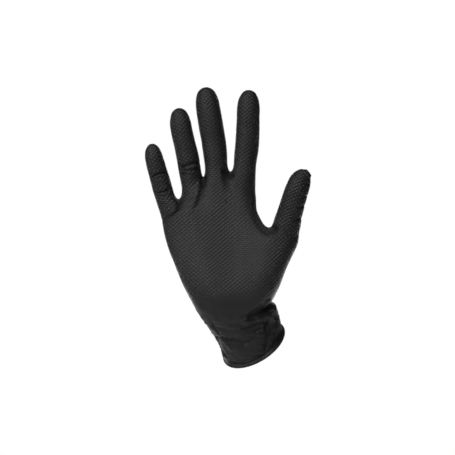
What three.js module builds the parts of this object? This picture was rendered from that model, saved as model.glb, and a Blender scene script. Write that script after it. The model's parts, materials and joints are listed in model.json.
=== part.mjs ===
// A nitrile exam glove in the shape it takes on a right hand, open and seen from the palm.
// Millimetres and degrees. +X is the thumb's side, -Y the palm's side, +Z the fingertips' side.
// The origin is the centre of the cuff's mouth, where the wrist goes in.
import * as THREE from 'three';

const { clamp, degToRad, lerp, radToDeg, smoothstep } = THREE.MathUtils;

// The film, and the bead that its edge is rolled into.
const FILM = 1.0;
const BEAD_DIAMETER = 3.2;

// The cuff: a short tube from its mouth up to the wrist, whose middle line leans to the little
// finger's side and tilts to the palm's side. The mouth's own plane leans a little more.
const CUFF_LENGTH = 31;
const CUFF_LEAN = 21.6;
const CUFF_TILT = 27;
const MOUTH_LEAN = 30.4;
const MOUTH_WIDTH = 57.5;
const MOUTH_DEPTH = 55.5;

// The palm: its width, its length from the wrist's centre to the web between the middle and
// index fingers, and its thickness. The ball of the thumb lies forward of the rest.
const PALM_WIDTH = 82.5;
const PALM_LENGTH = 119;
const PALM_DEPTH = 30;
const THUMB_FORWARD = 10;

// The fingers, from the web to the tip.
const LITTLE_LENGTH = 51;
const LITTLE_WIDTH = 17.3;
const RING_LENGTH = 71.6;
const RING_WIDTH = 19.4;
const MIDDLE_LENGTH = 78.2;
const MIDDLE_WIDTH = 20.8;
const INDEX_LENGTH = 73.5;
const INDEX_WIDTH = 20.3;
const THUMB_LENGTH = 58;
const THUMB_WIDTH = 23.9;

// Sections from the middle of the cuff up to the thumb's crotch. left and right are the outline's
// two edges seen from the front, as shares of the palm's width and length from the wrist's centre.
// tilt leans the section's axis to the palm's side. front and back are half depths, as shares of
// the palm's thickness. round is 1 for an oval and 0 for a flat, squared one. rings is how many
// rings of vertices lead up to the row. The third row is the crease that the wrist folds in.
const HAND_SECTIONS = [
  { left: [-0.237, -0.225], right: [0.402, -0.022], tilt: 27, front: 0.84, back: 0.84, round: 1, rings: 6 },
  { left: [-0.325, -0.114], right: [0.352, 0.069], tilt: 25, front: 0.76, back: 0.76, round: 0.9, rings: 5 },
  { left: [-0.342, -0.093], right: [0.276, 0.087], tilt: 24, front: 0.73, back: 0.74, round: 0.8, rings: 1 },
  { left: [-0.361, -0.071], right: [0.304, 0.116], tilt: 23, front: 0.74, back: 0.73, round: 0.75, rings: 1 },
  { left: [-0.392, -0.043], right: [0.348, 0.161], tilt: 20, front: 0.78, back: 0.70, round: 0.65, rings: 2 },
  { left: [-0.460, 0.025], right: [0.397, 0.225], tilt: 14, front: 0.80, back: 0.66, round: 0.45, rings: 2 },
  { left: [-0.535, 0.121], right: [0.446, 0.311], tilt: 8, front: 0.74, back: 0.62, round: 0.3, rings: 2 },
  { left: [-0.611, 0.225], right: [0.507, 0.404], tilt: 3, front: 0.66, back: 0.58, round: 0.15, rings: 2 },
  { left: [-0.677, 0.339], right: [0.565, 0.489], tilt: -2, front: 0.58, back: 0.54, round: 0, rings: 2 },
  { left: [-0.752, 0.475], right: [0.584, 0.552], tilt: -5, front: 0.52, back: 0.52, round: 0, rings: 2 },
];

// Sections of the palm above the thumb's crotch, in the same columns.
const PALM_SECTIONS = [
  { left: [-0.788, 0.552], right: [0.216, 0.655], tilt: -6, front: 0.50, back: 0.51, round: 0, rings: 1 },
  { left: [-0.811, 0.632], right: [0.172, 0.730], tilt: -6, front: 0.49, back: 0.50, round: 0, rings: 1 },
  { left: [-0.835, 0.714], right: [0.157, 0.807], tilt: -5, front: 0.47, back: 0.47, round: 0, rings: 2 },
  { left: [-0.872, 0.793], right: [0.147, 0.895], tilt: -3, front: 0.43, back: 0.42, round: 0, rings: 2 },
];

// The webs between the fingers, from the little finger's: foot is the valley's place on the
// palm's top ring and top the web's edge above it, as shares of the palm's width and length.
const WEBS = [
  { foot: [-0.638, 0.755], top: [-0.638, 0.785] },
  { foot: [-0.391, 0.905], top: [-0.391, 0.958] },
  { foot: [-0.106, 0.936], top: [-0.104, 0.992] },
];
const LITTLE_EDGE = [-0.884, 0.832];
const INDEX_EDGE = [0.145, 0.985];
const THUMB_WEB = [0.280, 0.595];

// Half of a web's edge from front to back, as a share of the film's depth at its foot: between
// two fingers and at the thumb's crotch. Then how far the softening of the webs reaches.
const WEB_DEPTH = 0.36;
const CROTCH_DEPTH = 0.28;
const WEB_SOFTENING = 11;
const SOFTENING_PASSES = 5;

// Facets on each of a finger's four sides, and rings of them along its shaft and its tip.
const SIDE = 4;
const SHAFT_RINGS = 9;
const TIP_RINGS = 5;
const FINGERS = WEBS.length + 1;
const PALM_COLUMNS = FINGERS * SIDE;
const HAND_COLUMNS = PALM_COLUMNS + SIDE;

// Digits from the little finger to the index finger, then the thumb. widths are shares of the
// digit's width at the shares of its length in WIDTHS_AT, and leans and curls the angles of its
// three bones to the little finger's side and to the palm's side. set is how far its middle line
// starts to the thumb's side of its webs' middle, and tip how long its rounded end is, both as
// shares of its width.
const WIDTHS_AT = [0.15, 0.35, 0.6, 0.76];
const BONES_AT = [0.2, 0.57, 0.86];
const LITTLE = {
  length: LITTLE_LENGTH, width: LITTLE_WIDTH, widths: [1, 0.95, 0.92, 0.89],
  leans: [16.5, 15.5, 11], curls: [10, 16, 4], set: -0.06, tip: 0.85,
};
const RING = {
  length: RING_LENGTH, width: RING_WIDTH, widths: [1, 1, 0.96, 0.95],
  leans: [9.5, 13.5, 8], curls: [7, 12, 2], set: 0.125, tip: 0.86,
};
const MIDDLE = {
  length: MIDDLE_LENGTH, width: MIDDLE_WIDTH, widths: [0.96, 1, 1.02, 0.98],
  leans: [5.3, 10.4, 8.2], curls: [3, 9, 0], set: 0, tip: 0.88,
};
const INDEX = {
  length: INDEX_LENGTH, width: INDEX_WIDTH, widths: [0.97, 1, 0.985, 0.955],
  leans: [-7, -1.5, -1.8], curls: [4, 8, 2], set: 0, tip: 0.88,
};
const THUMB = {
  length: THUMB_LENGTH, width: THUMB_WIDTH, widths: [1, 0.89, 0.86, 0.84],
  leans: [-15.5, -16.7, -20], curls: [16, 12, 4], set: 0, tip: 0.8,
};

// Half depths of a digit as shares of its width, on the pad's side and the nail's.
const PAD_DEPTH = 0.47;
const NAIL_DEPTH = 0.42;

// Squareness of a flat section and of a digit's rounded tip, where 2 is a true oval, and how far
// across a flat section its rounded side begins.
const SQUARENESS = 2.5;
const TIP_SQUARENESS = 2.2;
const SHOULDER = 0.93;

// Swellings and hollows. at is the middle as shares of the palm's width and length from the
// wrist's centre and reach the size in the same shares. rise is in shares of the palm's thickness.
const PALM_SWELLINGS = [
  { name: 'ball of the thumb', at: [0.20, 0.33], reach: [0.24, 0.22], rise: 0.15 },
  { name: 'heel of the hand', at: [-0.36, 0.30], reach: [0.20, 0.26], rise: 0.10 },
  { name: 'hollow of the palm', at: [-0.12, 0.52], reach: [0.20, 0.20], rise: -0.11 },
  { name: 'pad below the little finger', at: [-0.70, 0.68], reach: [0.11, 0.10], rise: 0.05 },
  { name: 'pad below the ring finger', at: [-0.52, 0.74], reach: [0.09, 0.10], rise: 0.06 },
  { name: 'valley between ring and middle', at: [-0.42, 0.88], reach: [0.05, 0.11], rise: -0.10 },
  { name: 'pad below the middle finger', at: [-0.27, 0.82], reach: [0.11, 0.10], rise: 0.05 },
  { name: 'valley between middle and index', at: [-0.10, 0.90], reach: [0.05, 0.07], rise: -0.05 },
  { name: 'pad below the index finger', at: [0.02, 0.80], reach: [0.10, 0.12], rise: 0.06 },
];
const BACK_SWELLINGS = [
  { name: 'knuckle of the little finger', at: [-0.71, 0.70], reach: [0.09, 0.07], rise: 0.07 },
  { name: 'knuckle of the ring finger', at: [-0.49, 0.79], reach: [0.09, 0.07], rise: 0.08 },
  { name: 'knuckle of the middle finger', at: [-0.24, 0.86], reach: [0.10, 0.07], rise: 0.10 },
  { name: 'knuckle of the index finger', at: [0.02, 0.84], reach: [0.10, 0.08], rise: 0.09 },
];

// Folds round the front of the wrist and cuff. from and to are shares of the mouth's width and
// the cuff's length from the mouth's centre, and breadth and rise shares of the cuff's length.
const CUFF_FOLDS = [
  { name: 'deep hollow under the wrist', from: [0.20, 1.10], to: [-0.02, 0.82], breadth: 0.13, rise: -0.09 },
  { name: 'ridge under the hollow', from: [0.27, 0.80], to: [-0.04, 0.60], breadth: 0.10, rise: 0.05 },
  { name: 'second hollow', from: [0.23, 0.58], to: [-0.08, 0.42], breadth: 0.10, rise: -0.06 },
  { name: 'long fold to the left', from: [-0.48, 0.18], to: [-0.18, 0.05], breadth: 0.10, rise: -0.035 },
  { name: 'fold back to the right', from: [-0.18, 0.05], to: [0.07, 0.20], breadth: 0.09, rise: -0.03 },
  { name: 'upright hollow', from: [0.24, 0.45], to: [0.19, 0.00], breadth: 0.12, rise: -0.04 },
  { name: 'gather on the left edge', from: [-0.55, 0.52], to: [-0.38, 0.40], breadth: 0.09, rise: -0.04 },
];

const points = [];
const quads = [];

function put(point) {
  points.push(point);
  return points.length - 1;
}

// A ring of vertex numbers has a front and a back, listed from the little finger's side, and the
// inner vertices of its right and left sides, listed from the front.
function around(ring) {
  return [...ring.front, ...ring.right, ...[...ring.back].reverse(), ...[...ring.left].reverse()];
}

// Skins the strip between two rings of as many vertices.
function loft(lower, upper) {
  const [a, b] = [around(lower), around(upper)];
  a.forEach((corner, i) => {
    const next = (i + 1) % a.length;
    quads.push([corner, a[next], b[next], b[i]]);
  });
}

// Cuts a ring in two at a column, with the web's vertices as the wall between the two parts.
function split(ring, column, web) {
  const part = (left, right, from, to) => (
    { front: ring.front.slice(from, to), right, back: ring.back.slice(from, to), left });
  return [part(ring.left, web, 0, column + 1), part(web, ring.right, column)];
}

// The places of a section's vertices on a shape of half width and half depth 1: across is positive
// to the right and deep to the back.
function sectionPlaces(columns, round) {
  const step = 360 / (2 * (columns + SIDE));
  const squared = (value) => (1 - Math.abs(value) ** SQUARENESS) ** (1 / SQUARENESS);
  const turned = (angle) => [Math.cos(degToRad(angle)), Math.sin(degToRad(angle))];
  const mix = (flat, oval) => flat.map((value, i) => lerp(value, oval[i], round));
  const shoulderDepth = squared(SHOULDER);
  const face = (sign) => Array.from({ length: columns + 1 }, (_, i) => {
    const across = SHOULDER * (2 * i / columns - 1);
    const angle = 180 - (SIDE / 2 + i) * step;
    return mix([across, sign * squared(across)], turned(sign * angle));
  });
  const edge = (sign) => Array.from({ length: SIDE - 1 }, (_, i) => {
    const deep = shoulderDepth * (2 * (i + 1) / SIDE - 1);
    const [across, ovalDeep] = turned((i + 1 - SIDE / 2) * step);
    return mix([sign * squared(deep), deep], [sign * across, ovalDeep]);
  });
  return { front: face(-1), back: face(1), right: edge(1), left: edge(-1) };
}

// Builds a ring on a section: its centre, half width, half depths, the slope of its chord in the
// front view and its tilt. shift gives what each vertex is moved by, from its place across.
function sectionRing(section, columns, shift = () => new THREE.Vector3()) {
  const [slope, tilt] = [degToRad(section.slope), degToRad(section.tilt)];
  const right = new THREE.Vector3(Math.cos(slope), 0, Math.sin(slope));
  const back = new THREE.Vector3(
    -Math.sin(slope) * Math.sin(tilt), Math.cos(tilt), Math.cos(slope) * Math.sin(tilt));
  const places = sectionPlaces(columns, section.round);
  const ring = {};
  for (const side of ['front', 'right', 'back', 'left']) {
    ring[side] = places[side].map(([across, deep]) => put(section.centre.clone()
      .addScaledVector(right, across * section.halfWidth)
      .addScaledVector(back, deep * (deep < 0 ? section.front : section.back))
      .add(shift(across))));
  }
  return ring;
}

// A smooth value between the middle two of four rows.
function between(a, b, c, d, t) {
  return 0.5 * (2 * b + (c - a) * t + (2 * a - 5 * b + 4 * c - d) * t * t + (3 * b - a - 3 * c + d) * t ** 3);
}

// Fills in the rings between the rows of a table of sections.
function filled(rows) {
  const row = (i) => rows[clamp(i, 0, rows.length - 1)];
  const result = [];
  for (let i = 1; i < rows.length; i += 1) {
    for (let ring = 0; ring < rows[i].rings; ring += 1) {
      const t = ring / rows[i].rings;
      const value = (read) => between(read(row(i - 2)), read(row(i - 1)), read(row(i)), read(row(i + 1)), t);
      result.push({
        left: [0, 1].map((axis) => value((r) => r.left[axis])),
        right: [0, 1].map((axis) => value((r) => r.right[axis])),
        tilt: value((r) => r.tilt),
        front: value((r) => r.front),
        back: value((r) => r.back),
        round: value((r) => r.round),
      });
    }
  }
  result.push(rows[rows.length - 1]);
  return result;
}

// Gives each section its centre, slope and half width. The centre moves to the front or the back
// as the sections' tilt says.
function placed(rows, start) {
  let previous = start;
  return rows.map((row) => {
    const [x, z] = [0, 1].map((axis) => (row.left[axis] + row.right[axis]) / 2);
    const rise = Math.hypot(x - previous.x, z - previous.z);
    const centre = new THREE.Vector3(x, previous.y - rise * Math.tan(degToRad(row.tilt)), z);
    previous = centre;
    const [dx, dz] = [0, 1].map((axis) => row.right[axis] - row.left[axis]);
    return { ...row, centre, halfWidth: Math.hypot(dx, dz) / 2, slope: radToDeg(Math.atan2(dz, dx)) };
  });
}

// The wrist's centre in the front view, and a place given in shares of the palm from there.
const cuffRise = CUFF_LENGTH * Math.cos(degToRad(CUFF_TILT));
const wrist = [-Math.sin(degToRad(CUFF_LEAN)) * cuffRise, Math.cos(degToRad(CUFF_LEAN)) * cuffRise];
const onHand = ([across, up]) => [wrist[0] + across * PALM_WIDTH, wrist[1] + up * PALM_LENGTH];
const handRow = (row) => ({
  ...row,
  left: onHand(row.left),
  right: onHand(row.right),
  front: row.front * PALM_DEPTH,
  back: row.back * PALM_DEPTH,
});

const mouthArm = [Math.cos(degToRad(MOUTH_LEAN)), Math.sin(degToRad(MOUTH_LEAN))]
  .map((value) => value * MOUTH_WIDTH / 2);
const mouthRow = {
  left: mouthArm.map((value) => -value),
  right: mouthArm,
  tilt: CUFF_TILT,
  front: MOUTH_DEPTH / 2,
  back: MOUTH_DEPTH / 2,
  round: 1,
  rings: 0,
};

// The ball of the thumb comes forward little by little from the wrist up to the crotch.
const forward = (share) => (across) => new THREE.Vector3(
  0, -THUMB_FORWARD * smoothstep(across, 0, 0.85) * smoothstep(share, 0.35, 1), 0);
const trunkSections = placed(filled([mouthRow, ...HAND_SECTIONS.map(handRow)]), new THREE.Vector3());
const trunkRings = trunkSections.map((section, i) => (
  sectionRing(section, HAND_COLUMNS, forward(i / (trunkSections.length - 1)))));
trunkRings.slice(1).forEach((ring, i) => loft(trunkRings[i], ring));

// The vertices along a web's edge, from the front to the back, over a ring's column.
const webMiddles = [];
function webEdge(top, ring, column, share) {
  const [x, z] = onHand(top);
  const [front, back] = [points[ring.front[column]].y, points[ring.back[column]].y];
  const depth = (front + back) / 2;
  const halfDepth = (back - front) * share;
  webMiddles.push(new THREE.Vector3(x, depth, z));
  return Array.from({ length: SIDE - 1 }, (_, i) => (
    put(new THREE.Vector3(x, depth + (2 * (i + 1) / SIDE - 1) * halfDepth, z))));
}

// The thumb's crotch parts the hand's top ring into the palm and the thumb.
const handTop = trunkSections[trunkSections.length - 1];
const handTopRing = trunkRings[trunkRings.length - 1];
const crotch = webEdge(THUMB_WEB, handTopRing, PALM_COLUMNS, CROTCH_DEPTH);
const [palmFoot, thumbFoot] = split(handTopRing, PALM_COLUMNS, crotch);

// The palm's rings bend from a straight chord at the crotch to the line of the webs' feet.
const lastHandRow = handRow(HAND_SECTIONS[HAND_SECTIONS.length - 1]);
const crotchRow = { ...lastHandRow, right: onHand(THUMB_WEB), rings: 0 };
const palmSections = placed(filled([crotchRow, ...PALM_SECTIONS.map(handRow)]), handTop.centre).slice(1);
const palmTop = palmSections[palmSections.length - 1];

// How far the line of the webs' feet lies from the palm's top chord, at a share of the way across.
function archAt(share) {
  const chord = (t) => [0, 1].map((axis) => lerp(palmTop.left[axis], palmTop.right[axis], t));
  const feet = [[0, 0], ...WEBS.map((web, i) => {
    const [x, z] = onHand(web.foot);
    const [chordX, chordZ] = chord((i + 1) / FINGERS);
    return [x - chordX, z - chordZ];
  }), [0, 0]];
  const place = share * FINGERS;
  const i = Math.min(Math.floor(place), FINGERS - 1);
  return [0, 1].map((axis) => lerp(feet[i][axis], feet[i + 1][axis], place - i));
}

const palmRings = palmSections.map((section, i) => {
  const share = (i + 1) / palmSections.length;
  const thumbSide = forward(1 - share);
  return sectionRing(section, PALM_COLUMNS, (across) => {
    const [dx, dz] = archAt(clamp((across / SHOULDER + 1) / 2, 0, 1));
    return new THREE.Vector3(dx, 0, dz).multiplyScalar(share ** 1.5).addScaledVector(thumbSide(across), 0.5);
  });
});
loft(palmFoot, palmRings[0]);
palmRings.slice(1).forEach((ring, i) => loft(palmRings[i], ring));

// Parts the palm's top ring into the four fingers' feet.
const fingerFeet = [];
let rest = palmRings[palmRings.length - 1];
for (const web of WEBS) {
  const [finger, others] = split(rest, SIDE, webEdge(web.top, rest, SIDE, WEB_DEPTH));
  fingerFeet.push(finger);
  rest = others;
}
fingerFeet.push(rest);

// Closes a digit's last ring with a grid of SIDE by SIDE quads that bulges towards the tip.
function closeTip(ring, bulge) {
  const grid = [ring.front];
  for (let row = 1; row < SIDE; row += 1) {
    const line = [ring.left[row - 1]];
    for (let column = 1; column < SIDE; column += 1) {
      const across = points[ring.left[row - 1]].clone().lerp(points[ring.right[row - 1]], column / SIDE);
      const deep = points[ring.front[column]].clone().lerp(points[ring.back[column]], row / SIDE);
      const hump = (place) => 1 - (2 * place / SIDE - 1) ** 2;
      line.push(put(across.lerp(deep, 0.5).addScaledVector(bulge, hump(row) * hump(column))));
    }
    line.push(ring.right[row - 1]);
    grid.push(line);
  }
  grid.push(ring.back);
  for (let row = 0; row < SIDE; row += 1) {
    const [near, far] = [grid[row], grid[row + 1]];
    for (let column = 0; column < SIDE; column += 1) {
      quads.push([near[column], near[column + 1], far[column + 1], far[column]]);
    }
  }
}

// Reads a digit's column at a share of its length, smoothly between the shares it is given at.
function along(values, places, share) {
  const last = places.length - 1;
  if (share <= places[0]) return values[0];
  if (share >= places[last]) return values[last];
  const i = places.findIndex((place) => place > share) - 1;
  return lerp(values[i], values[i + 1], smoothstep(share, places[i], places[i + 1]));
}

// The middle line of a digit, walked in short steps from its root.
function middleLine(digit, root) {
  const STEPS = 100;
  const line = [root];
  for (let i = 1; i <= STEPS; i += 1) {
    const angle = (values) => degToRad(along(values, BONES_AT, i / STEPS));
    const [lean, curl] = [angle(digit.leans), angle(digit.curls)];
    const heading = new THREE.Vector3(
      -Math.sin(lean) * Math.cos(curl), -Math.sin(curl), Math.cos(lean) * Math.cos(curl));
    line.push(line[i - 1].clone().addScaledVector(heading, digit.length / STEPS));
  }
  return (share) => line[Math.round(share * STEPS)];
}

// Builds a digit on its foot ring. Its first rings lie along the line of the webs beside it, from
// the left end to the right one, and the later ones straight across it.
function digitSkin(digit, foot, [leftEnd, rightEnd], depth) {
  const [dx, dz] = [0, 1].map((axis) => rightEnd[axis] - leftEnd[axis]);
  const webSlope = radToDeg(Math.atan2(dz, dx));
  const inset = 0.5 + digit.set * digit.width / Math.hypot(dx, dz);
  const line = middleLine(digit, new THREE.Vector3(leftEnd[0] + dx * inset, depth, leftEnd[1] + dz * inset));
  let lower = foot;
  const addRing = (share, width) => {
    const lean = along(digit.leans, BONES_AT, share);
    const slant = (webSlope - lean) * (1 - smoothstep(share, 0, 0.45));
    const ring = sectionRing({
      centre: line(share),
      halfWidth: width / 2 / Math.cos(degToRad(slant)),
      front: width * PAD_DEPTH,
      back: width * NAIL_DEPTH,
      slope: lean + slant,
      tilt: along(digit.curls, BONES_AT, share),
      round: 1,
    }, SIDE);
    loft(lower, ring);
    lower = ring;
  };
  const tipStart = 1 - digit.tip * digit.width / digit.length;
  for (let i = 0; i < SHAFT_RINGS; i += 1) {
    const share = lerp(0.07, tipStart, i / (SHAFT_RINGS - 1));
    addRing(share, digit.width * along(digit.widths, WIDTHS_AT, share));
  }
  const tipWidth = digit.width * digit.widths[digit.widths.length - 1];
  const power = 2 / TIP_SQUARENESS;
  const tipAngle = (i) => degToRad(90 * i / (TIP_RINGS + 1));
  for (let i = 1; i <= TIP_RINGS; i += 1) {
    addRing(lerp(tipStart, 1, Math.sin(tipAngle(i)) ** power), tipWidth * Math.cos(tipAngle(i)) ** power);
  }
  const crown = digit.tip * digit.width * (1 - Math.sin(tipAngle(TIP_RINGS)) ** power);
  closeTip(lower, line(1).clone().sub(line(0.9)).setLength(crown));
}

const webTops = [LITTLE_EDGE, ...WEBS.map((web) => web.top), INDEX_EDGE].map(onHand);
[LITTLE, RING, MIDDLE, INDEX].forEach((digit, i) => (
  digitSkin(digit, fingerFeet[i], [webTops[i], webTops[i + 1]], palmTop.centre.y)));
digitSkin(THUMB, thumbFoot, [onHand(THUMB_WEB), handTop.right], handTop.centre.y + forward(1)(0.8).y);

// Rounds off the corners where the webs meet the palm, by drawing each vertex near a web towards
// the middle of its neighbours.
const neighbours = points.map(() => new Set());
for (const quad of quads) {
  quad.forEach((corner, i) => {
    const next = quad[(i + 1) % quad.length];
    neighbours[corner].add(next);
    neighbours[next].add(corner);
  });
}
const bell = (value) => Math.exp(-(value ** 2));
const softness = points.map((point) => (
  0.6 * bell(Math.min(...webMiddles.map((web) => point.distanceTo(web))) / WEB_SOFTENING)));
for (let pass = 0; pass < SOFTENING_PASSES; pass += 1) {
  const targets = neighbours.map((others) => {
    const middle = new THREE.Vector3();
    others.forEach((other) => middle.add(points[other]));
    return middle.divideScalar(others.size);
  });
  points.forEach((point, i) => point.lerp(targets[i], softness[i]));
}

function trianglesOf(faces) {
  return faces.flatMap(([a, b, c, d]) => (
    points[a].distanceTo(points[c]) < points[b].distanceTo(points[d])
      ? [a, b, c, a, c, d] : [a, b, d, b, c, d]));
}

// The outward normal of the skin at each vertex.
function skinNormals() {
  const skin = new THREE.BufferGeometry().setFromPoints(points);
  skin.setIndex(trianglesOf(quads));
  skin.computeVertexNormals();
  const normals = skin.getAttribute('normal');
  return points.map((_, i) => new THREE.Vector3().fromBufferAttribute(normals, i));
}

// How far a swelling and a fold raise the skin at a place in the front view.
function swellingAt(swelling, x, z) {
  const [middleX, middleZ] = onHand(swelling.at);
  const across = (x - middleX) / (swelling.reach[0] * PALM_WIDTH);
  const up = (z - middleZ) / (swelling.reach[1] * PALM_LENGTH);
  return swelling.rise * PALM_DEPTH * bell(Math.hypot(across, up));
}

function foldAt(fold, x, z) {
  const onCuff = ([across, up]) => new THREE.Vector3(across * MOUTH_WIDTH, 0, up * CUFF_LENGTH);
  const here = new THREE.Vector3(x, 0, z);
  const nearest = new THREE.Line3(onCuff(fold.from), onCuff(fold.to))
    .closestPointToPoint(here, true, new THREE.Vector3());
  return fold.rise * CUFF_LENGTH * bell(here.distanceTo(nearest) / (fold.breadth * CUFF_LENGTH));
}

// Raises the skin by its swellings and folds, each on the side that it belongs to.
const total = (table, read, point) => table.reduce((sum, row) => sum + read(row, point.x, point.z), 0);
skinNormals().forEach((normal, i) => {
  const point = points[i];
  const front = smoothstep(-normal.y, 0, 0.5);
  const back = smoothstep(normal.y, 0, 0.5);
  const palm = front * total(PALM_SWELLINGS, swellingAt, point);
  const knuckles = back * total(BACK_SWELLINGS, swellingAt, point);
  point.addScaledVector(normal, front * total(CUFF_FOLDS, foldAt, point));
  point.y += knuckles - palm;
});

// The inner skin lies one film's thickness inside the outer one.
const outerCount = points.length;
skinNormals().forEach((normal, i) => put(points[i].clone().addScaledVector(normal, -FILM)));
quads.push(...quads.map((quad) => quad.map((i) => i + outerCount).reverse()));

// The rolled bead joins the two skins round the cuff's mouth. Its angles run round its own
// section from the outer skin, by the outermost edge, to the inner skin.
const BEAD_ANGLES = [-35, 5, 45, 90, 135, 175, 215];
const outward = new THREE.Vector3(
  Math.sin(degToRad(MOUTH_LEAN)) * Math.cos(degToRad(CUFF_TILT)), Math.sin(degToRad(CUFF_TILT)),
  -Math.cos(degToRad(MOUTH_LEAN)) * Math.cos(degToRad(CUFF_TILT)));
const outerMouth = around(trunkRings[0]);
const innerMouth = outerMouth.map((i) => i + outerCount);
const beadLoops = BEAD_ANGLES.map((degrees) => outerMouth.map((outer) => {
  const [skin, lining] = [points[outer], points[outer + outerCount]];
  const aside = skin.clone().sub(lining);
  aside.addScaledVector(outward, -aside.dot(outward)).normalize();
  const radius = BEAD_DIAMETER / 2;
  return put(skin.clone().lerp(lining, 0.5)
    .addScaledVector(outward, radius * (1 + Math.sin(degToRad(degrees))))
    .addScaledVector(aside, radius * Math.cos(degToRad(degrees))));
}));
[...beadLoops, innerMouth].forEach((loop, i) => {
  const previous = i === 0 ? outerMouth : beadLoops[i - 1];
  loop.forEach((corner, j) => {
    const next = (j + 1) % loop.length;
    quads.push([previous[next], previous[j], corner, loop[next]]);
  });
});

const geometry = new THREE.BufferGeometry().setFromPoints(points);
geometry.setIndex(trianglesOf(quads));
geometry.computeVertexNormals();

const nitrile = new THREE.MeshStandardMaterial({ color: 0x2a2a2c, roughness: 0.55, metalness: 0 });
const glove = new THREE.Mesh(geometry, nitrile);
glove.name = 'glove';

const part = new THREE.Group();
part.add(glove);

export default part;
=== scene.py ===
"""Looks for a black nitrile exam glove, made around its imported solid.

Metres, +Z towards the fingertips, -Y the palm's side, +X the thumb's side. The origin is the
middle of the cuff's mouth.
"""

import json
import math

import bmesh
import bpy
import numpy as np
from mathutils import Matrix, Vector, noise


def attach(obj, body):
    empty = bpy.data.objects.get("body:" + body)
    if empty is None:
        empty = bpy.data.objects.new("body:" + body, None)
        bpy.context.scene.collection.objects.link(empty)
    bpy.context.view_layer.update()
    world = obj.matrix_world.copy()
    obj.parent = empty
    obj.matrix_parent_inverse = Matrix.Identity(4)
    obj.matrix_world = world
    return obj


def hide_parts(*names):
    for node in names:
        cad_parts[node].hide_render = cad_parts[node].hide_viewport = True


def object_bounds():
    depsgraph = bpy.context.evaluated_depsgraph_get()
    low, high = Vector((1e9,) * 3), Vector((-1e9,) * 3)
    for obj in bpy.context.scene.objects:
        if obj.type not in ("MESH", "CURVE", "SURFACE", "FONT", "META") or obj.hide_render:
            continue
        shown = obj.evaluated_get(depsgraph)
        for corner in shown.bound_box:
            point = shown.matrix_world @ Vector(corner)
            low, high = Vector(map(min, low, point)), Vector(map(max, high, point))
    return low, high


bl_info = {
    "name": "Nitrile exam glove",
    "version": (1, 0, 0),
    "blender": (4, 5, 0),
    "location": "View3D > Sidebar > Glove",
    "description": "Dresses a worn nitrile glove's solid with its folds, grip texture and finish",
    "category": "Object",
}

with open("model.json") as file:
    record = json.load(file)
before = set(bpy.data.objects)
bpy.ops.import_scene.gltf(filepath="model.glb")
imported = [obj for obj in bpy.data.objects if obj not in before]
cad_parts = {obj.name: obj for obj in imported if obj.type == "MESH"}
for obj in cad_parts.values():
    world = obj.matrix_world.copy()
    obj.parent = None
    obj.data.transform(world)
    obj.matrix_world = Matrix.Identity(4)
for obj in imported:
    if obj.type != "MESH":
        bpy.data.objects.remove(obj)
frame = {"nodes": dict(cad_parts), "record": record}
solid_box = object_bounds()

MM = 0.001
MOUTH_AXIS = np.array(frame["record"]["mounts"][0]["axis"])

# Corners closer than this are one corner, and points further out than this past the mouth's
# plane belong to its rolled bead.
MERGE_DISTANCE = 0.01 * MM
BEAD_START = 0.45 * MM

# The skin's mark is 1 outside, -1 inside and between the two round the bead. Past these marks a
# smoothed corner belongs to one skin alone.
INNER_SKIN = -0.99
OUTER_SKIN = 0.99

# How many breadths from a fold the outer faces are split finer, and how far a normal points
# forwards where the folds begin and where they are full.
FINE_REACH = 2.2
FOLDS_BEGIN, FOLDS_FULL = -0.35, 0.25

# A hollow as deep as this, in millimetres, gets nearly two thirds of the deepest painted shade.
DEEP_HOLLOW = 1.6

# Middle lines that the grip texture follows, in millimetres in the front view: each digit's root
# and tip, and the radius that the texture is rolled round.
DIGITS = [
    {"name": "little finger", "root": (-70.0, 117.5), "tip": (-84.0, 168.0), "radius": 8.4},
    {"name": "ring finger", "root": (-54.0, 131.0), "tip": (-68.0, 199.0), "radius": 9.5},
    {"name": "middle finger", "root": (-31.0, 142.0), "tip": (-43.0, 215.0), "radius": 10.2},
    {"name": "index finger", "root": (-8.5, 143.0), "tip": (-4.5, 214.0), "radius": 10.0},
    {"name": "thumb", "root": (25.5, 96.0), "tip": (43.0, 152.0), "radius": 10.8},
]

# The texture bends from the palm's into a digit's over this length, reaches this many radii to
# each side of the middle line, and is this much wider on a digit than on the palm.
TEXTURE_BEND = 16.0
DIGIT_REACH = 1.45
DIGIT_WIDENING = 1.15

# It rounds the tip over these lengths from the end, and fades where the film faces this much
# along the digit.
TIP_BEGINS, TIP_FULL = 20 * MM, 5 * MM
BARE_BEGINS, BARE_FULL = 0.75, 0.98

# The palm is flat, so the texture rolls round its edge alone: between these turns of the film from
# the front, in radians, and by this radius in millimetres.
PALM_FRONT, PALM_BACK = 0.4, 2.4
PALM_EDGE_RADIUS = 8.7

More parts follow.
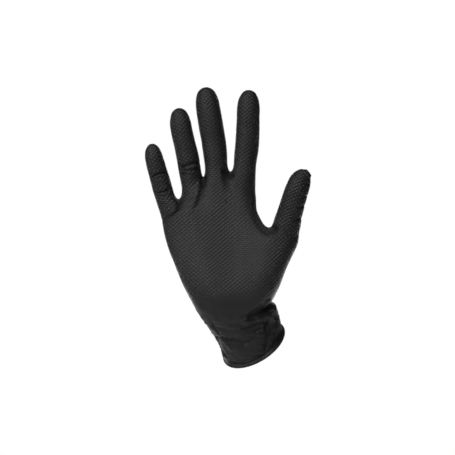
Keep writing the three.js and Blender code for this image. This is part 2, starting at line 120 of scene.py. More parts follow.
# Folds in the front of the film that are finer than the solid's own, all in millimetres: a path
# in the front view, the breadth to each side of it, and the rise outwards at its start and end.
FINGER_FOLDS = [
    {"name": "ring finger's crease",
     "path": [(-61.4, 149.9), (-55.8, 151.5), (-49.5, 154.1), (-45.5, 153.8)],
     "breadth": 0.9, "rise": (-1.6, -1.2)},
    {"name": "short crease below it", "path": [(-60.6, 148.4), (-56.8, 147.0)],
     "breadth": 0.9, "rise": (-1.2, -0.6)},
    {"name": "ring finger's wrinkle", "path": [(-55.4, 147.3), (-48.7, 148.4)],
     "breadth": 0.9, "rise": (-0.4, -0.5)},
    {"name": "ring finger's lower wrinkle", "path": [(-61.0, 144.9), (-55.4, 143.9)],
     "breadth": 0.9, "rise": (-1.2, -0.5)},
    {"name": "ring finger's ridge", "path": [(-57.5, 149.5), (-49.0, 151.0)],
     "breadth": 1.3, "rise": (0.5, 0.4)},
    {"name": "little finger's crease", "path": [(-85.0, 142.6), (-80.0, 144.9), (-73.5, 145.6)],
     "breadth": 0.9, "rise": (-1.4, -1.4)},
    {"name": "little finger's wrinkle", "path": [(-82.4, 141.3), (-76.5, 142.2)],
     "breadth": 0.9, "rise": (-0.5, -0.3)},
    {"name": "little finger's lower crease", "path": [(-81.5, 128.3), (-77.4, 129.2), (-72.2, 130.9)],
     "breadth": 0.9, "rise": (-1.1, -1.4)},
    {"name": "wrinkle below the lower crease", "path": [(-80.1, 125.8), (-74.9, 125.9)],
     "breadth": 0.9, "rise": (-0.6, -0.4)},
    {"name": "little finger's root",
     "path": [(-77.0, 105.6), (-70.6, 109.2), (-65.5, 112.2), (-63.6, 115.5)],
     "breadth": 1.3, "rise": (-1.0, -1.7)},
    {"name": "film pushed up over the root", "path": [(-73.5, 110.5), (-67.5, 114.2)],
     "breadth": 1.6, "rise": (0.6, 0.6)},
    {"name": "pit below the ring finger's web", "path": [(-42.4, 140.5), (-42.9, 135.0)],
     "breadth": 1.9, "rise": (-3.2, -2.6)},
    {"name": "valley below it",
     "path": [(-43.0, 136.0), (-45.2, 125.3), (-46.9, 120.2), (-50.2, 114.2), (-53.6, 109.2)],
     "breadth": 1.5, "rise": (-2.2, -0.2)},
    {"name": "ring finger's swollen root", "path": [(-46.8, 133.0), (-50.5, 119.5)],
     "breadth": 2.2, "rise": (1.0, 0.6)},
    {"name": "wrinkle beside the valley", "path": [(-48.6, 128.7), (-51.1, 125.2), (-53.6, 121.9)],
     "breadth": 0.9, "rise": (-0.7, -0.4)},
    {"name": "pit below the middle finger's web",
     "path": [(-24.8, 146.6), (-21.4, 145.0), (-18.4, 143.4)],
     "breadth": 2.1, "rise": (-2.6, -2.8)},
    {"name": "hollow below the middle finger's web", "path": [(-23.3, 141.5), (-21.0, 134.0)],
     "breadth": 3.2, "rise": (-2.0, -0.8)},
    {"name": "pit below the little finger's web", "path": [(-62.8, 121.0), (-63.4, 115.5)],
     "breadth": 1.9, "rise": (-3.4, -1.6)},
    {"name": "hollow beside the thumb's web",
     "path": [(1.4, 119.5), (2.2, 109.5), (4.6, 103.0), (8.2, 98.4), (12.0, 96.3), (16.4, 97.4)],
     "breadth": 2.9, "rise": (-1.4, -3.2)},
    {"name": "ridge below the thumb's web", "path": [(10.5, 89.5), (15.5, 90.5)],
     "breadth": 1.8, "rise": (0.5, 1.1)},
    {"name": "pad below the middle finger", "path": [(-38.5, 132.0), (-36.5, 127.5)],
     "breadth": 5.0, "rise": (1.0, 0.8)},
    {"name": "pad below the index finger", "path": [(-16.0, 133.0), (-13.5, 128.5)],
     "breadth": 5.0, "rise": (1.0, 0.8)},
    {"name": "index finger's flank", "path": [(1.0, 131.0), (0.8, 121.0)],
     "breadth": 3.4, "rise": (-0.8, -1.2)},
    {"name": "dent in the palm", "path": [(-22.9, 121.6), (-21.9, 120.6)],
     "breadth": 1.1, "rise": (-0.7, -0.7)},
    {"name": "upper wrinkle beside the thumb", "path": [(46.0, 135.5), (40.8, 131.0)],
     "breadth": 1.0, "rise": (-1.3, -0.4)},
    {"name": "middle wrinkle beside the thumb", "path": [(45.0, 126.0), (39.2, 123.2)],
     "breadth": 1.0, "rise": (-1.3, -0.4)},
    {"name": "lower wrinkle beside the thumb", "path": [(43.0, 117.8), (35.9, 114.9)],
     "breadth": 1.0, "rise": (-1.3, -0.4)},
    {"name": "lowest wrinkle beside the thumb", "path": [(40.0, 107.4), (33.5, 104.9)],
     "breadth": 1.1, "rise": (-1.3, -0.4)},
    {"name": "corner at the thumb's tip", "path": [(43.6, 147.0), (46.2, 142.5)],
     "breadth": 1.6, "rise": (1.0, 1.6)},
]
CUFF_FOLDS = [
    {"name": "flank of the cuff", "path": [(22.0, 22.0), (24.5, 10.0), (18.0, -1.0)],
     "breadth": 5.0, "rise": (-0.9, -0.9)},
    {"name": "pit at the heel's edge", "path": [(13.2, 38.8), (9.6, 36.6)],
     "breadth": 1.1, "rise": (-1.8, -1.0)},
    {"name": "hollow below the heel", "path": [(-2.0, 23.8), (2.8, 26.4), (8.9, 29.6), (14.5, 31.4)],
     "breadth": 2.8, "rise": (-1.1, -0.8)},
    {"name": "ridge across the front",
     "path": [(-9.8, 19.2), (-3.9, 19.7), (2.0, 21.0), (7.8, 23.0), (13.0, 25.6), (16.1, 28.0)],
     "breadth": 1.4, "rise": (0.5, 1.9)},
    {"name": "pit at the ridge's end", "path": [(17.0, 25.6), (19.8, 22.0)],
     "breadth": 1.1, "rise": (-1.6, -1.2)},
    {"name": "groove under the ridge", "path": [(-9.4, 13.8), (-3.5, 15.2), (0.3, 17.4), (7.8, 18.9)],
     "breadth": 1.3, "rise": (-1.0, -1.5)},
    {"name": "upper short groove", "path": [(1.8, 11.7), (6.4, 14.4)],
     "breadth": 0.9, "rise": (-1.1, -1.0)},
    {"name": "lower short groove", "path": [(5.2, 11.0), (8.7, 9.8)],
     "breadth": 0.9, "rise": (-0.9, -1.2)},
    {"name": "upright groove", "path": [(11.2, 18.5), (10.8, 12.8), (11.9, 7.6), (10.6, -3.0)],
     "breadth": 1.6, "rise": (-1.5, -1.1)},
    {"name": "upright groove beside it", "path": [(14.4, 14.6), (14.3, 8.2)],
     "breadth": 0.9, "rise": (-0.9, -1.1)},
    {"name": "short upright groove", "path": [(17.8, 9.3), (17.4, 3.0)],
     "breadth": 0.9, "rise": (-1.1, -0.8)},
    {"name": "long groove",
     "path": [(-26.3, 6.1), (-19.5, 4.3), (-12.9, 3.6), (-8.1, 1.6), (-3.5, 3.1), (0.8, 6.6)],
     "breadth": 1.5, "rise": (-0.8, -0.7)},
    {"name": "gather at the left edge",
     "path": [(-31.6, 6.4), (-28.9, -1.5), (-26.0, -7.3), (-22.3, -11.1)],
     "breadth": 1.0, "rise": (-1.1, -0.8)},
    {"name": "fold beside the gather", "path": [(-25.1, 4.1), (-20.4, -1.6), (-18.2, -6.2)],
     "breadth": 1.1, "rise": (1.0, 0.5)},
    {"name": "gather above it", "path": [(-34.6, 16.6), (-29.2, 9.3)],
     "breadth": 1.0, "rise": (-0.9, -0.6)},
    {"name": "groove above the bead", "path": [(-1.0, -10.7), (2.6, -9.4), (6.4, -9.0)],
     "breadth": 0.9, "rise": (-0.7, -0.9)},
    {"name": "groove left of it", "path": [(-9.2, -14.0), (-2.9, -12.4)],
     "breadth": 0.8, "rise": (-0.6, -0.6)},
    {"name": "groove at the bead's left end", "path": [(-19.3, -14.8), (-13.1, -16.2)],
     "breadth": 0.8, "rise": (-0.8, -0.8)},
    {"name": "groove along the bead",
     "path": [(-19.9, -15.6), (-12.8, -17.4), (-3.8, -15.1), (4.7, -11.4), (13.2, -5.1),
              (20.1, 3.3), (23.0, 10.8)],
     "breadth": 0.8, "rise": (-0.7, -0.7)},
]

# The loose film's own unevenness, in millimetres: the crumpled cuff's, which fades out at the
# wrist, and the whole film's. The waves come in two sizes, the second smaller by the ratio and
# lower by the ratio to the power of the decay.
CRUMPLES = [
    {"name": "cuff", "wave": 7.0, "squash": 1.7, "rise": 0.8, "full_below": 20.0, "none_above": 38.0},
    {"name": "whole film", "wave": 15.0, "squash": 1.0, "rise": 0.25},
]
WAVE_DECAY, WAVE_RATIO, WAVE_SIZES = 0.8, 2.0, 2

# Heights in metres over which the palm gives way to the fingers, with the depth of the grip's
# second grooves and the strength of its relief on each.
ROOTS_LOW, ROOTS_HIGH = 0.105, 0.150
PALM_GROOVES, FINGER_GROOVES = 0.88, 1.0
PALM_RELIEF, FINGER_RELIEF = 1.15, 0.85

# The tone runs from 0 to 1 between the darkest and the lightest share of the film's colour. It
# starts from the plain film's. Blotches lighten it at random. Painted light lightens the middle of
# the palm, painted shade darkens the folds' hollows, and painted light and shade lighten the grip
# above its middle height and darken it below. The painted light on the palm fades between two
# distances from its middle.
DARKEST, LIGHTEST = 0.3, 1.6
PLAIN_TONE = 0.37
BLOTCH_TONE = 0.2
PALM_LIGHT_TONE = 0.72
GRIP_SHADING_TONE = 0.4
HOLLOW_SHADE_TONE = -0.55
GRIP_SHADING_MIDDLE = 0.6
PALM_LIGHT_MIDDLE = (-0.026, -0.035, 0.088)
PALM_LIGHT_FULL, PALM_LIGHT_ENDS = 0.028, 0.058
PALM_LIGHT_MOST = 0.9

# How much rougher than the mean the sheen is in the blotches and in the hollows, how far the
# blotches move the grip's lower edge, and the rise of the film's fine grain.
BLOTCH_ROUGHNESS = 0.05
HOLLOW_ROUGHNESS = 0.5
EDGE_WANDER = 0.012
GRAIN_RISE = 0.05 * MM

# The stage, in metres: the floor's sides, front and length, how far it lies below the solid, and
# the bend and the wall that it runs up into.
FLOOR_SIDE = 3.0
FLOOR_FRONT, FLOOR_LENGTH = -3.0, 4.0
FLOOR_DROP = 0.10
BEND_RADIUS, BEND_STEPS = 0.8, 24
WALL_HEIGHT = 2.0

# The lights' places, targets and sizes in metres and their powers in watts.
GLOVE_MIDDLE = (-0.02, -0.02, 0.1)
LIGHTS = [
    {"name": "front light", "place": (-0.02, -1.33, 1.02), "target": GLOVE_MIDDLE,
     "size": 0.40, "power": 2.12},
    {"name": "top light", "place": (-0.157, -0.397, 0.673), "target": GLOVE_MIDDLE,
     "size": 0.18, "power": 0.46},
    {"name": "side light", "place": (-0.59, -0.349, 0.339), "target": GLOVE_MIDDLE,
     "size": 0.18, "power": 0.42},
    {"name": "floor light", "place": (0, 0.80, 0.45), "target": (0, 0.80, -0.1),
     "size": 0.9, "power": 5.5},
    {"name": "backdrop light", "place": (0, 0.8, 1.2), "target": (0, 1.75, 0.1),
     "size": 0.8, "power": 17},
]
LIGHT_SPREAD = math.radians(100)

# The studio's light from all round, and how much brighter its walls look to the camera.
STUDIO_LIGHT, STUDIO_WALLS = 0.05, 0.75


def step(value, low, high):
    """Eases from 0 at low to 1 at high."""
    share = np.clip((value - low) / (high - low), 0, 1)
    return share * share * (3 - 2 * share)


def film_quads(node):
    """A bmesh of the solid's film: its corners merged and its triangles paired into quads."""
    film = bmesh.new()
    film.from_mesh(node.data)
    bmesh.ops.remove_doubles(film, verts=film.verts, dist=MERGE_DISTANCE)
    bmesh.ops.join_triangles(
        film, faces=film.faces, angle_face_threshold=math.pi, angle_shape_threshold=math.pi)
    return film


def mark_skins(film):
    """Stores 1 on the outer skin's corners, -1 on the inner skin's and 0 on the bead's."""
    axis = Vector(MOUTH_AXIS)
    skin = film.verts.layers.float.new("skin")
    past_mouth = {v for v in film.verts if v.co.dot(axis) > BEAD_START}
    for v in film.verts:
        v[skin] = 0 if v in past_mouth else -1
    waiting = [min(film.verts, key=lambda v: v.co.y)]
    waiting[0][skin] = 1
    while waiting:
        v = waiting.pop()
        for edge in v.link_edges:
            other = edge.other_vert(v)
            if other[skin] < 0:
                other[skin] = 1
                waiting.append(other)


def corners(mesh):
    """The mesh's corners as rows of x, y and z."""
    flat = np.empty(len(mesh.vertices) * 3)
    mesh.vertices.foreach_get("co", flat)
    return flat.reshape(-1, 3)


def normals(mesh):
    """The outward normals at the mesh's corners, as rows."""
    flat = np.empty(len(mesh.vertices) * 3)
    mesh.vertices.foreach_get("normal", flat)
    return flat.reshape(-1, 3)


def set_corners(mesh, rows):
    mesh.vertices.foreach_set("co", rows.ravel())
    mesh.update()


def evaluated_mesh(piece):
    """A new mesh of the piece with its modifiers applied."""
    graph = bpy.context.evaluated_depsgraph_get()
    return bpy.data.meshes.new_from_object(piece.evaluated_get(graph))


def smooth_film(piece, levels):
    """Subdivides the piece's film, and keeps the smooth skin on the solid's own corners."""
    subdivision = piece.modifiers.new("smooth film", "SUBSURF")
    subdivision.levels = subdivision.render_levels = levels
    coarse = corners(piece.data)
    shrunk = corners(evaluated_mesh(piece))[:len(coarse)]
    set_corners(piece.data, 2 * coarse - shrunk)
    dense = evaluated_mesh(piece)
    piece.modifiers.clear()
    piece.data = dense


def film_side(mesh):
    """1 on the outer skin, -1 on the inner one, and between the two round the bead."""
    side = np.empty(len(mesh.vertices))
    mesh.attributes["skin"].data.foreach_get("value", side)
    return side


def path_distance(path, x, z):
    """How far each place in the front view is from the path, and its share of the path there."""
    runs = len(path) - 1
    nearest = np.full(len(x), np.inf)
    share = np.zeros(len(x))
    for number in range(runs):
        start = np.array(path[number])
        run = np.array(path[number + 1]) - start
        along = np.clip(((x - start[0]) * run[0] + (z - start[1]) * run[1]) / run.dot(run), 0, 1)
        away = np.hypot(x - start[0] - along * run[0], z - start[1] - along * run[1])
        share = np.where(away < nearest, (number + along) / runs, share)
        nearest = np.minimum(nearest, away)
    return nearest, share


def fold_rise(fold, x, z):
    """How far a fold lifts each place in the front view, in millimetres."""
    away, share = path_distance(fold["path"], x, z)
    start, end = fold["rise"]
    return (start + (end - start) * share) * np.exp(-(away / fold["breadth"]) ** 2)


def near_folds(film):
    """Tells for each of the film's corners whether it lies beside a fold in the front view."""
    film.verts.index_update()
    places = np.array([v.co for v in film.verts]) / MM
    near = np.zeros(len(places), bool)
    for fold in FINGER_FOLDS + CUFF_FOLDS:
        away, _ = path_distance(fold["path"], places[:, 0], places[:, 2])
        near |= away < FINE_REACH * fold["breadth"]
    return near


def refine_film(mesh):
    """Thins out the inner skin away from the folds, and splits the outer skin beside them."""
    film = bmesh.new()
    film.from_mesh(mesh)
    skin = film.verts.layers.float["skin"]
    near = near_folds(film)
    smooth = [
        v for v in film.verts
        if v[skin] < INNER_SKIN and (v.normal.y < 0 or not near[v.index])]
    bmesh.ops.unsubdivide(film, verts=smooth, iterations=2)
    near = near_folds(film)
    fine = [near[v.index] and v[skin] > OUTER_SKIN and v.normal.y < 0 for v in film.verts]
    edges = [e for e in film.edges if fine[e.verts[0].index] and fine[e.verts[1].index]]
    bmesh.ops.subdivide_edges(film, edges=edges, cuts=1, use_grid_fill=True)
    film.to_mesh(mesh)
    film.free()


def crumple_rise(crumple, rows):
    """Soft ridges and hollows of loose film at each corner, in millimetres."""
    size = Vector((1, 1, crumple["squash"])) / crumple["wave"] / MM
    waves = [noise.fractal(Vector(row) * size, WAVE_DECAY, WAVE_RATIO, WAVE_SIZES) for row in rows]
    rise = crumple["rise"] * np.array(waves)
    if "full_below" in crumple:
        rise *= 1 - step(rows[:, 2] / MM, crumple["full_below"], crumple["none_above"])
    return rise


def fold_film(mesh, depth):
    """Moves both skins together by the folds, which show in front, and by the crumples."""
    rows = corners(mesh)
    outwards = normals(mesh) * film_side(mesh)[:, None]
    x, z = rows[:, 0] / MM, rows[:, 2] / MM
    rise = sum(fold_rise(fold, x, z) for fold in FINGER_FOLDS + CUFF_FOLDS)
    rise *= step(-outwards[:, 1], FOLDS_BEGIN, FOLDS_FULL)
    # The hollow mask paints shade into the folds' hollows, and makes them rougher.
    hollow = mesh.attributes.new("hollow", "FLOAT", "POINT")
    hollow.data.foreach_set("value", 1 - np.exp(np.minimum(rise, 0) / DEEP_HOLLOW))
    rise += sum(crumple_rise(crumple, rows) for crumple in CRUMPLES)
    set_corners(mesh, rows + outwards * (rise * depth * MM)[:, None])


def whole_turns(radius, cell):
    """The radius nearest to the given one that a whole number of cells goes round."""
    return cell * max(1, round(math.tau * radius / cell)) / math.tau


def face_corners(mesh):
    """The vertex at each face's corners, and the vertex at that face's first corner."""
    vertex = np.empty(len(mesh.loops), int)
    mesh.loops.foreach_get("vertex_index", vertex)
    first, count = np.empty(len(mesh.polygons), int), np.empty(len(mesh.polygons), int)
    mesh.polygons.foreach_get("loop_start", first)
    mesh.polygons.foreach_get("loop_total", count)
    return vertex, np.repeat(vertex[first], count)


def lay_grip(mesh, cell):
    """Lays the grip texture's UV map over the film, in metres along and around each digit.

    It starts from the place in the front view. Where the film turns away to the side or over a tip,
    the length of the arc replaces the shorter length that shows, so the diamonds keep their size.
    """
    rows = corners(mesh)
    outwards = normals(mesh) * film_side(mesh)[:, None]
    x, z = rows[:, 0], rows[:, 2]
    around, along = x.copy(), z.copy()
    sideways, ahead = outwards[:, 0].copy(), np.zeros(len(rows))
    radius = np.full(len(rows), whole_turns(PALM_EDGE_RADIUS * MM, cell))
    on_digit, bare = np.zeros(len(rows)), np.zeros(len(rows))
    for digit in DIGITS:
        root, tip = np.array(digit["root"]) * MM, np.array(digit["tip"]) * MM
        length = np.hypot(*(tip - root))
        axis = (tip - root) / length
        reach = (x - root[0]) * axis[0] + (z - root[1]) * axis[1]
        aside = (x - root[0]) * axis[1] - (z - root[1]) * axis[0]
        near = np.abs(aside) < DIGIT_REACH * digit["radius"] * MM
        share = step(reach, 0, TEXTURE_BEND * MM) * near
        middle = cell * round(root[0] / cell)
        around += share * (middle + aside / DIGIT_WIDENING - around)
        along += share * (root[1] + reach - along)
        turned = outwards[:, 0] * axis[1] - outwards[:, 2] * axis[0]
        pointed = outwards[:, 0] * axis[0] + outwards[:, 2] * axis[1]
        sideways += share * (turned - sideways)
        ahead += share * step(reach, length - TIP_BEGINS, length - TIP_FULL) * pointed
        rolled = whole_turns(digit["radius"] * MM / DIGIT_WIDENING, cell)
        radius += share * (rolled - radius)
        on_digit += share * (1 - on_digit)
        bare += share * (step(pointed, BARE_BEGINS, BARE_FULL) - bare)
    angle = np.arctan2(sideways, -outwards[:, 1])
    flat = np.sign(angle) * math.pi * step(np.abs(angle), PALM_FRONT, PALM_BACK)
    angle = flat + on_digit * (angle - flat)
    climb = np.arcsin(np.clip(ahead, -1, 1))
    along += radius * (climb - np.sin(climb))
    vertex, leader = face_corners(mesh)
    turns = np.round((angle[leader] - angle[vertex]) / math.tau)
    rolled = around[vertex] + radius[vertex] * (
        angle[vertex] + turns * math.tau - np.sin(angle[vertex]))
    mesh.attributes.new("bare", "FLOAT", "POINT").data.foreach_set("value", bare)
    grip = mesh.uv_layers.new(name="grip")
    grip.data.foreach_set("uv", np.column_stack([rolled, along[vertex]]).ravel())


class NodeBoard:
    """Adds the nodes of a material or a world and joins them."""

    def __init__(self, owner):
        self.tree = owner.node_tree

    def add(self, kind, settings=None, **inputs):
        """A node with its settings, and its inputs given by number or name as values or sockets."""
        made = self.tree.nodes.new(kind)
        for name, value in (settings or {}).items():
            setattr(made, name, value)
        for name, value in inputs.items():
            self.feed(made.inputs[name.replace("_", " ")], value)
        return made

    def feed(self, socket, value):
        if isinstance(value, bpy.types.NodeSocket):
            self.tree.links.new(value, socket)
        else:
            socket.default_value = value

    def math(self, operation, *values):
        """A Math node's result."""
        made = self.tree.nodes.new("ShaderNodeMath")
        made.operation = operation
        for socket, value in zip(made.inputs, values):
            self.feed(socket, value)
        return made.outputs[0]

    def eased(self, value, low, high, start=0.0, end=1.0):
        """Eases from start to end while the value goes from low to high."""
        made = self.add("ShaderNodeMapRange", {"interpolation_type": "SMOOTHSTEP"})
        for name, number in (("Value", value), ("From Min", low), ("From Max", high),
                             ("To Min", start), ("To Max", end)):
            self.feed(made.inputs[name], number)
        return made.outputs["Result"]

    def noise(self, place, scale, detail):
        """Even noise from 0 to 1."""
        made = self.add("ShaderNodeTexNoise", Vector=place, Scale=scale, Detail=detail)
        return made.outputs["Fac"]


def grip_height(board, height, settings):
    """Raised diamonds with grooves between them, from 0 in a groove to 1 on top.

    On the palm the grooves that climb to the right are the deeper ones.
    """
    place = board.add("ShaderNodeUVMap", {"uv_map": "grip"}).outputs["UV"]
    parts = board.add("ShaderNodeSeparateXYZ", Vector=place)
    across = board.math("DIVIDE", parts.outputs["X"], settings.cell_width)
    up = board.math("DIVIDE", parts.outputs["Y"], settings.cell_height)
    walls = []
    for operation in ("SUBTRACT", "ADD"):
        phase = board.math("MULTIPLY", board.math(operation, across, up), math.pi)
        wall = board.math("ABSOLUTE", board.math("SINE", phase))
        walls.append(board.math("POWER", wall, settings.cell_fullness))
    depth = board.eased(height, ROOTS_LOW, ROOTS_HIGH, PALM_GROOVES, FINGER_GROOVES)
    lowered = board.math("MULTIPLY", board.math("SUBTRACT", 1.0, walls[1]), depth)
    return board.math("MULTIPLY", walls[0], board.math("SUBTRACT", 1.0, lowered))


def nitrile_material(settings):
    """Black nitrile: a soft sheen, a diamond grip on the fingers and palm, a smooth cuff, and painted
    light and shade.
    """
    material = bpy.data.materials.new("black nitrile")
    material.use_nodes = True
    board = NodeBoard(material)
    shader = material.node_tree.nodes["Principled BSDF"]
    place = board.add("ShaderNodeTexCoord").outputs["Object"]
    height = board.add("ShaderNodeSeparateXYZ", Vector=place).outputs["Z"]

    blotches = board.noise(place, scale=45.0, detail=4.0)
    edge = board.math("MULTIPLY_ADD", blotches, EDGE_WANDER, height)
    textured = board.eased(edge, settings.grip_start, settings.grip_full)
    bare = board.add("ShaderNodeAttribute", {"attribute_name": "bare"}).outputs["Fac"]
    textured = board.math("MULTIPLY", textured, board.math("SUBTRACT", 1.0, bare))
    strength = board.eased(height, ROOTS_LOW, ROOTS_HIGH, PALM_RELIEF, FINGER_RELIEF)
    pattern = grip_height(board, height, settings)
    grip = board.math("MULTIPLY", board.math("MULTIPLY", pattern, textured), strength)

    # Painted light: the middle of the palm is lighter, fading out with distance from it.
    far = board.add("ShaderNodeVectorMath", {"operation": "DISTANCE"})
    board.feed(far.inputs[0], place)
    board.feed(far.inputs[1], PALM_LIGHT_MIDDLE)
    lit_palm = board.eased(
        far.outputs["Value"], PALM_LIGHT_FULL, PALM_LIGHT_ENDS, PALM_LIGHT_MOST, 0.0)
    # Painted light and shade: the grip's diamond tops are lighter and its grooves darker.
    grip_shading = board.math("MULTIPLY", board.math("SUBTRACT", pattern, GRIP_SHADING_MIDDLE), textured)
    # Painted shade: the folds' hollows are darker.
    hollow = board.add("ShaderNodeAttribute", {"attribute_name": "hollow"}).outputs["Fac"]
    tone = board.math("MULTIPLY_ADD", blotches, BLOTCH_TONE, PLAIN_TONE)
    tone = board.math("MULTIPLY_ADD", lit_palm, PALM_LIGHT_TONE, tone)
    tone = board.math("MULTIPLY_ADD", grip_shading, GRIP_SHADING_TONE, tone)
    tone = board.math("MULTIPLY_ADD", hollow, HOLLOW_SHADE_TONE, tone)
    shade = board.add("ShaderNodeMix", {"data_type": "RGBA"}, Factor=tone)
    colour = tuple(settings.color)
    shade.inputs["A"].default_value = (*(DARKEST * part for part in colour), 1)
    shade.inputs["B"].default_value = (*(LIGHTEST * part for part in colour), 1)
    board.feed(shader.inputs["Base Color"], shade.outputs["Result"])
    smoothest, roughest = settings.roughness - BLOTCH_ROUGHNESS, settings.roughness + BLOTCH_ROUGHNESS
    roughness = board.eased(blotches, 0.3, 0.7, smoothest, roughest)
    roughness = board.math("MULTIPLY_ADD", hollow, HOLLOW_ROUGHNESS, roughness)
    board.feed(shader.inputs["Roughness"], roughness)

    grain = board.noise(place, scale=900.0, detail=3.0)
    skin = board.add("ShaderNodeBump", Strength=0.25, Distance=GRAIN_RISE, Height=grain)
    relief = board.add(
        "ShaderNodeBump", Strength=1.0, Distance=settings.cell_rise, Height=grip,
        Normal=skin.outputs["Normal"])
    board.feed(shader.inputs["Normal"], relief.outputs["Normal"])
    shader.inputs["Specular IOR Level"].default_value = 0.3
    return material


def show_smooth(mesh):
    mesh.polygons.foreach_set("use_smooth", [True] * len(mesh.polygons))


class GloveFilm(bpy.types.PropertyGroup):
    """Sizes and finish of the glove's film."""

    levels: bpy.props.IntProperty(
        name="Subdivision", description="How often each facet of the solid is split in four",
        default=2, min=0, max=2)
    fold_depth: bpy.props.FloatProperty(
        name="Fold depth", description="How deep the film's fine folds are, as a share of the real ones",
        default=1.0, min=0.0, max=1.5, subtype="FACTOR")
    cell_width: bpy.props.FloatProperty(
        name="Diamond width", description="Width of a raised diamond of the grip",
        default=3.9 * MM, min=1 * MM, unit="LENGTH", precision=4)
    cell_height: bpy.props.FloatProperty(
        name="Diamond height", description="Height of a raised diamond of the grip",
        default=3.3 * MM, min=1 * MM, unit="LENGTH", precision=4)
    cell_rise: bpy.props.FloatProperty(
        name="Diamond rise", description="How far a diamond stands above its grooves",
        default=0.5 * MM, min=0.0, unit="LENGTH", precision=5)
    cell_fullness: bpy.props.FloatProperty(
        name="Diamond fullness", description="Less is a flatter top with narrower grooves",
        default=0.7, min=0.2, max=2.0)
    grip_start: bpy.props.FloatProperty(
        name="Grip's start", description="Height above the cuff's mouth where the grip begins",
        default=34 * MM, unit="LENGTH")
    grip_full: bpy.props.FloatProperty(
        name="Full grip", description="Height above the cuff's mouth where the grip is full",
        default=60 * MM, unit="LENGTH")
    color: bpy.props.FloatVectorProperty(
        name="Colour", description="The film's own colour", subtype="COLOR",
        default=(0.021, 0.021, 0.0222), min=0.0, max=1.0)
    roughness: bpy.props.FloatProperty(
        name="Roughness", description="How blurred the film's sheen is",
        default=0.42, min=0.0, max=1.0, subtype="FACTOR")


class GloveStage(bpy.types.PropertyGroup):
    """The floor, lights and camera."""

    camera_place: bpy.props.FloatVectorProperty(
        name="Camera", description="Where the camera stands, looking along +Y",
        default=(-0.022, -1.4, 0.0995), subtype="TRANSLATION")
    view_width: bpy.props.FloatProperty(
        name="View's width", description="Width of the view at the depth of the palm",
        default=0.38675, unit="LENGTH")
    floor_color: bpy.props.FloatVectorProperty(
        name="Floor", description="The floor's and backdrop's colour", subtype="COLOR",
        default=(0.9, 0.9, 0.9), min=0.0, max=1.0)


class MakeFilm(bpy.types.Operator):
    """Makes the glove: its film, folds, grip texture and rolled bead"""

    bl_idname = "glove.make_film"
    bl_label = "Glove"

    def execute(self, context):
        settings = context.scene.glove_film
        film = film_quads(frame["nodes"]["glove"])
        mark_skins(film)
        mesh = bpy.data.meshes.new("worn_glove")
        film.to_mesh(mesh)
        film.free()
        glove = bpy.data.objects.new("worn_glove", mesh)
        context.scene.collection.objects.link(glove)
        smooth_film(glove, settings.levels)
        refine_film(glove.data)
        lay_grip(glove.data, settings.cell_width)
        fold_film(glove.data, settings.fold_depth)
        glove.data.attributes.remove(glove.data.attributes["skin"])
        show_smooth(glove.data)
        glove.data.materials.clear()
        glove.data.materials.append(nitrile_material(settings))
        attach(glove, "root")
        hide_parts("glove")
        return {"FINISHED"}


def floor_material(color):
    """Matt, pale paper that the camera sees evenly lit, as far as it reaches."""
    material = bpy.data.materials.new("pale paper")
    material.use_nodes = True
    board = NodeBoard(material)
    shader = material.node_tree.nodes["Principled BSDF"]
    shader.inputs["Base Color"].default_value = (*color, 1)
    shader.inputs["Roughness"].default_value = 0.9
    seen = board.add("ShaderNodeLightPath").outputs["Is Camera Ray"]
    even = board.add("ShaderNodeEmission", Strength=1.0)
    both = board.add("ShaderNodeMixShader", Fac=seen)
    board.feed(both.inputs[1], shader.outputs["BSDF"])
    board.feed(both.inputs[2], even.outputs["Emission"])
    board.feed(material.node_tree.nodes["Material Output"].inputs["Surface"], both.outputs["Shader"])
    return material


def push_out(path, edges, way):
    """Extrudes the edges of a bmesh that way, and gives the new edges."""
    made = bmesh.ops.extrude_edge_only(path, edges=edges)["geom"]
    bmesh.ops.translate(path, vec=way, verts=[e for e in made if isinstance(e, bmesh.types.BMVert)])
    return [e for e in made if isinstance(e, bmesh.types.BMEdge)]


def sweep(color):
    """A floor that turns up into a backdrop behind the glove."""
    low = solid_box[0].z - FLOOR_DROP
    path = bmesh.new()
    ends = [path.verts.new((x, FLOOR_FRONT, low)) for x in (-FLOOR_SIDE, FLOOR_SIDE)]
    front = path.edges.new(ends)
    made = push_out(path, [front], (0, FLOOR_LENGTH, 0))
    back = [edge for edge in made if all(v.co.y > FLOOR_FRONT for v in edge.verts)]
    foot = (0, FLOOR_FRONT + FLOOR_LENGTH, low + BEND_RADIUS)
    bmesh.ops.spin(path, geom=back, cent=foot, axis=(1, 0, 0), angle=math.pi / 2, steps=BEND_STEPS)
    top = max(v.co.z for v in path.verts)
    last = [edge for edge in path.edges if all(top - v.co.z < MERGE_DISTANCE for v in edge.verts)]
    push_out(path, last, (0, 0, WALL_HEIGHT))
    mesh = bpy.data.meshes.new("floor")
    path.to_mesh(mesh)
    path.free()
    show_smooth(mesh)
    floor = bpy.data.objects.new("floor", mesh)
    bpy.context.scene.collection.objects.link(floor)
    mesh.materials.append(floor_material(color))
    return floor


def soft_light(name, place, target, size, power):
    """A square soft light that faces its target."""
    data = bpy.data.lights.new(name, "AREA")
    data.size = size
    data.energy = power
    data.spread = LIGHT_SPREAD
    light = bpy.data.objects.new(name, data)
    light.location = place
    light.visible_camera = False
    light.rotation_mode = "QUATERNION"
    light.rotation_quaternion = (Vector(target) - Vector(place)).to_track_quat("-Z", "Y")
    bpy.context.scene.collection.objects.link(light)


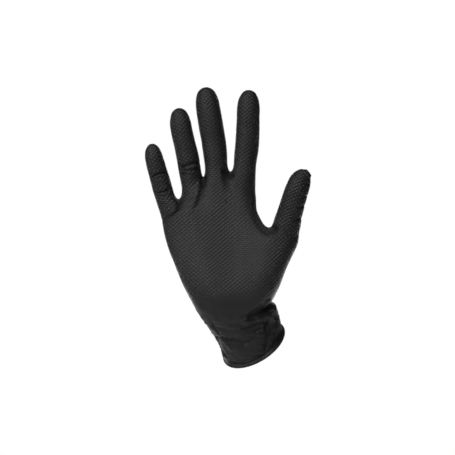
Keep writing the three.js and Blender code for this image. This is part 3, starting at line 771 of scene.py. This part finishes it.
def light_studio(world):
    """A dim studio round the glove, whose walls look pale from every side."""
    world.use_nodes = True
    board = NodeBoard(world)
    seen = board.add("ShaderNodeLightPath").outputs["Is Camera Ray"]
    background = world.node_tree.nodes["Background"]
    background.inputs["Color"].default_value = (1, 1, 1, 1)
    strength = board.math("MULTIPLY_ADD", seen, STUDIO_WALLS, STUDIO_LIGHT)
    board.feed(background.inputs["Strength"], strength)


class MakeStage(bpy.types.Operator):
    """Makes the pale floor, the soft lights and the camera"""

    bl_idname = "glove.make_stage"
    bl_label = "Stage"

    def execute(self, context):
        settings = context.scene.glove_stage
        sweep(settings.floor_color)
        world = context.scene.world or bpy.data.worlds.new("studio")
        context.scene.world = world
        light_studio(world)
        for light in LIGHTS:
            soft_light(**light)
        data = bpy.data.cameras.new("camera")
        camera = bpy.data.objects.new("camera", data)
        camera.location = settings.camera_place
        camera.rotation_euler = (math.pi / 2, 0, 0)
        depth = GLOVE_MIDDLE[1] - settings.camera_place[1]
        data.lens = data.sensor_width * depth / settings.view_width
        context.scene.collection.objects.link(camera)
        context.scene.camera = camera
        context.scene.view_settings.view_transform = "Standard"
        return {"FINISHED"}


class GlovePanel(bpy.types.Panel):
    """Lists what can be made."""

    bl_idname = "VIEW3D_PT_glove"
    bl_label = "Exam glove"
    bl_space_type = "VIEW_3D"
    bl_region_type = "UI"
    bl_category = "Glove"

    def draw(self, context):
        for settings in (context.scene.glove_film, context.scene.glove_stage):
            box = self.layout.box()
            for name in settings.__annotations__:
                box.prop(settings, name)
        self.layout.operator(MakeFilm.bl_idname)
        self.layout.operator(MakeStage.bl_idname)


CLASSES = (GloveFilm, GloveStage, MakeFilm, MakeStage, GlovePanel)


def register():
    for made in CLASSES:
        bpy.utils.register_class(made)
    bpy.types.Scene.glove_film = bpy.props.PointerProperty(type=GloveFilm)
    bpy.types.Scene.glove_stage = bpy.props.PointerProperty(type=GloveStage)


def unregister():
    del bpy.types.Scene.glove_stage
    del bpy.types.Scene.glove_film
    for made in reversed(CLASSES):
        bpy.utils.unregister_class(made)


def main():
    register()
    bpy.ops.glove.make_film()
    bpy.ops.glove.make_stage()


if __name__ == "__main__":
    main()
